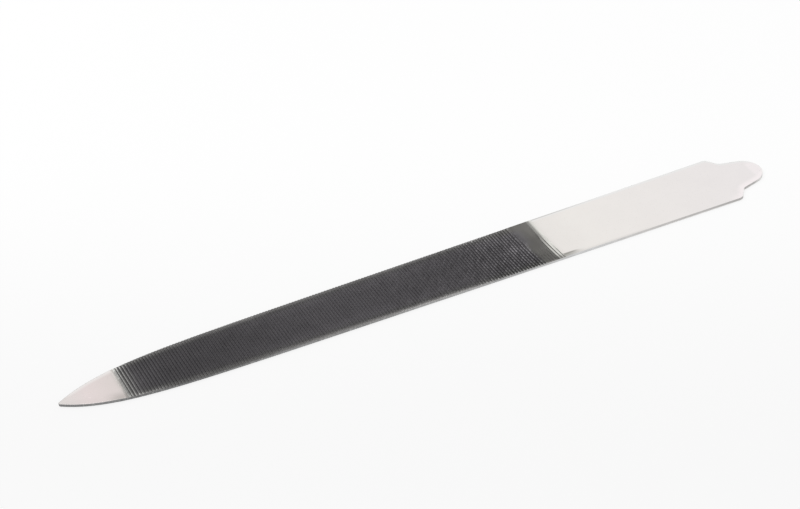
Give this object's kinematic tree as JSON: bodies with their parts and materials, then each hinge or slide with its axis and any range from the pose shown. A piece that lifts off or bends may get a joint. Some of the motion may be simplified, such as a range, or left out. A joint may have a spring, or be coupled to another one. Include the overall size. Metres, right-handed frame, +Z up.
{
  "type": "nail file",
  "caption": "Flat steel nail file with a polished point, crosswise teeth on both faces of its middle, and a flat polished handle with shouldered round end.",
  "frame": {"origin": "bottom centre of the bounding box: the file lies on z = 0 with its middle over the origin", "axes": "+X along the file from the point to the handle's round end, +Y across it, +Z up out of the coarse-cut face"},
  "size_m": [0.15, 0.0144, 0.0006],
  "materials": {
    "bright_steel": "polished nickel plate over steel; dark and rough where the teeth are cut"
  },
  "bodies": {
    "root": {"file_blank": "bright_steel"}
  },
  "joints": []
}
